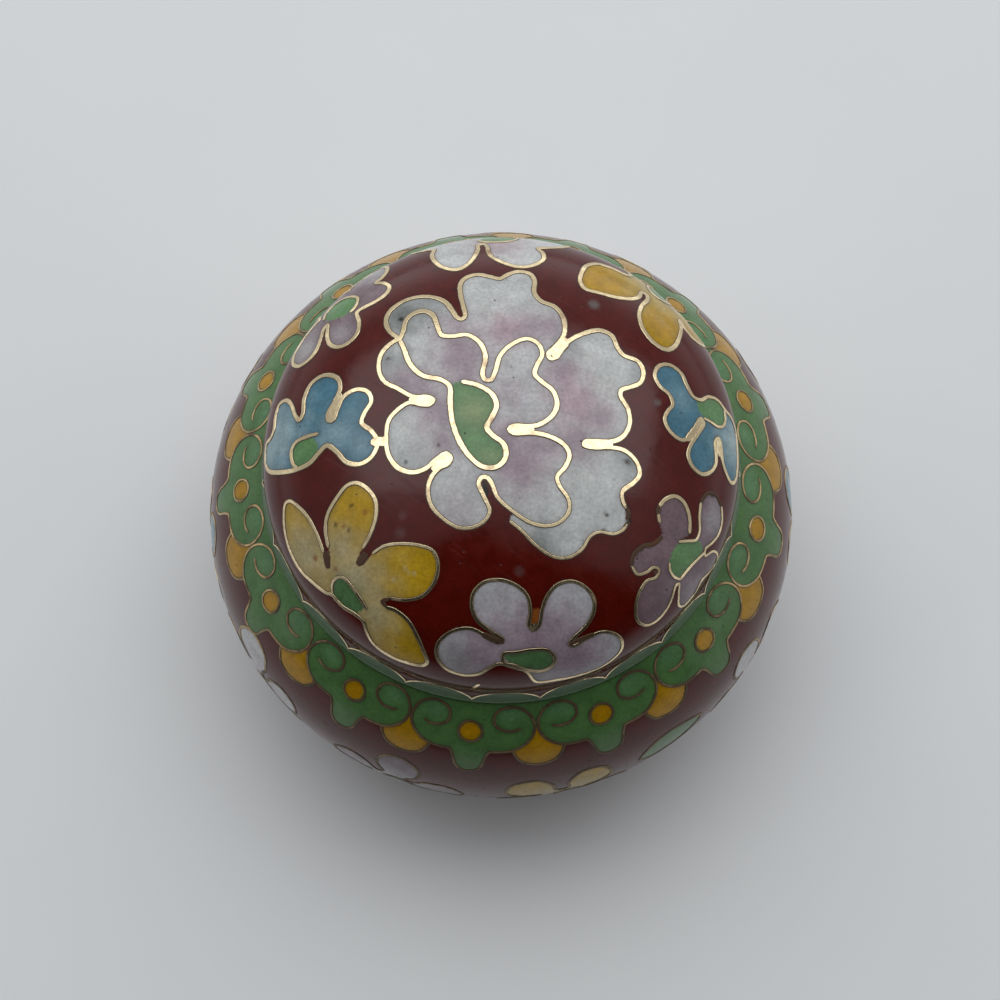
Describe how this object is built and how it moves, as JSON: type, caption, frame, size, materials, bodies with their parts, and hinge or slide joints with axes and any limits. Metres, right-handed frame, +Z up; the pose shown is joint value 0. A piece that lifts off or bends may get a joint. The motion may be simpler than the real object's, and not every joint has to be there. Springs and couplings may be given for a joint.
{
  "type": "cloisonne lidded jar",
  "caption": "Squat round enamelled copper jar with a loose domed lid, flowers and a scrolled collar in gilt wire on dark red, on a low foot ring.",
  "frame": {"origin": "middle of the foot ring on the surface that the jar stands on", "axes": "+Z up along the jar's axis of turning; -Y is the side nearest the camera"},
  "size_m": [0.06, 0.06, 0.0437],
  "materials": {
    "cloisonne_enamel": "polished dark red glass enamel with inlaid flowers",
    "gilt_wire": "polished gilt copper wire, edges and foot ring",
    "counter_enamel": "plain glossy turquoise enamel inside and underneath"
  },
  "bodies": {
    "root": {"jar_body": "cloisonne_enamel", "jar_lid": "cloisonne_enamel"}
  },
  "joints": []
}
